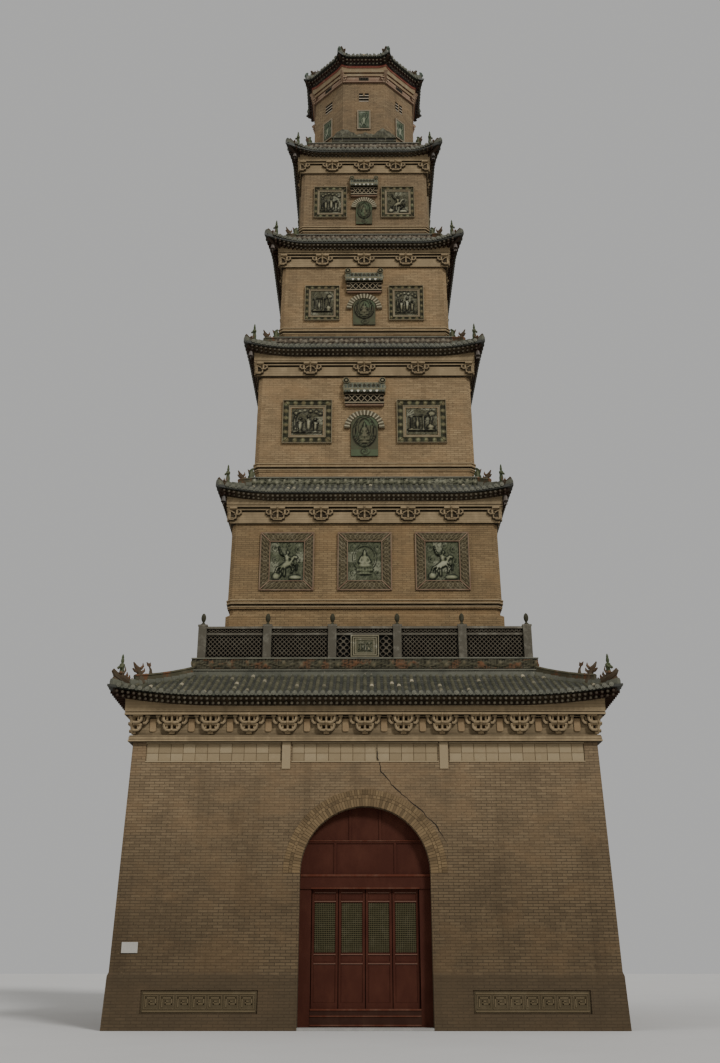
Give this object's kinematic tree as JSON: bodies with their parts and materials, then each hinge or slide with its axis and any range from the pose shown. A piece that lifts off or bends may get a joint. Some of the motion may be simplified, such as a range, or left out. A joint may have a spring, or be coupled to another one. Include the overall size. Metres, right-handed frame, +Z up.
{
  "type": "brick pagoda",
  "caption": "Tall brick pagoda of stepped square storeys with glazed tile skirts, a railed terrace, an arched timber doorway and an octagonal top.",
  "frame": {"origin": "centre of the ground plan, at ground level", "axes": "+Z up, -Y out of the doorway, +X to the right of someone facing the doorway"},
  "size_m": [14.1502, 14.1502, 38.6503],
  "materials": {
    "brick": "weathered tan fired brick in lime mortar, matt",
    "glazed_tile": "worn grey-green glazed tile, half gloss",
    "carved_brick": "dark moulded and fired clay, partly glazed",
    "door_timber": "dark red painted timber, faded",
    "stone": "worn paving stone, matt",
    "finial_metal": "weathered gilt metal"
  },
  "bodies": {
    "tower": {"wall_front_left": "brick", "wall_front_right": "brick", "wall_over_door": "brick", "wall_left": "brick", "wall_right": "brick", "wall_back": "brick", "chamber_vault": "brick", "ground_frieze": "brick", "ground_eave": "brick", "storey2_wall": "brick", "storey2_frieze": "brick", "storey2_eave": "brick", "storey3_wall": "brick", "storey3_frieze": "brick", "storey3_eave": "brick", "storey4_wall": "brick", "storey4_frieze": "brick", "storey4_eave": "brick", "storey5_wall": "brick", "storey5_frieze": "brick", "storey5_eave": "brick", "lantern_wall": "brick", "lantern_frieze": "brick", "lantern_eave": "brick", "ground_roof": "glazed_tile", "storey2_roof": "glazed_tile", "storey3_roof": "glazed_tile", "storey4_roof": "glazed_tile", "storey5_roof": "glazed_tile", "lantern_roof": "glazed_tile", "door_frame": "door_timber", "door_threshold": "door_timber", "door_arch_board": "door_timber", "balustrade_front": "carved_brick", "balustrade_right": "carved_brick", "balustrade_back": "carved_brick", "balustrade_left": "carved_brick", "floor": "stone", "finial": "finial_metal"},
    "leaf_1": {"door_leaf_1": "door_timber"},
    "leaf_2": {"door_leaf_2": "door_timber"},
    "leaf_3": {"door_leaf_3": "door_timber"},
    "leaf_4": {"door_leaf_4": "door_timber"}
  },
  "joints": [
    {"name": "leaf_1_pivot", "type": "hinge", "parent": "tower", "child": "leaf_1", "pos_m": [-1.365, -6.04, 0.48], "axis": [0, 0, 1], "range_deg": [0, 90]},
    {"name": "leaf_2_pivot", "type": "hinge", "parent": "tower", "child": "leaf_2", "pos_m": [-0.665, -6.04, 0.48], "axis": [0, 0, 1], "range_deg": [0, 90]},
    {"name": "leaf_3_pivot", "type": "hinge", "parent": "tower", "child": "leaf_3", "pos_m": [0.665, -6.04, 0.48], "axis": [0, 0, -1], "range_deg": [0, 90]},
    {"name": "leaf_4_pivot", "type": "hinge", "parent": "tower", "child": "leaf_4", "pos_m": [1.365, -6.04, 0.48], "axis": [0, 0, -1], "range_deg": [0, 90]}
  ]
}
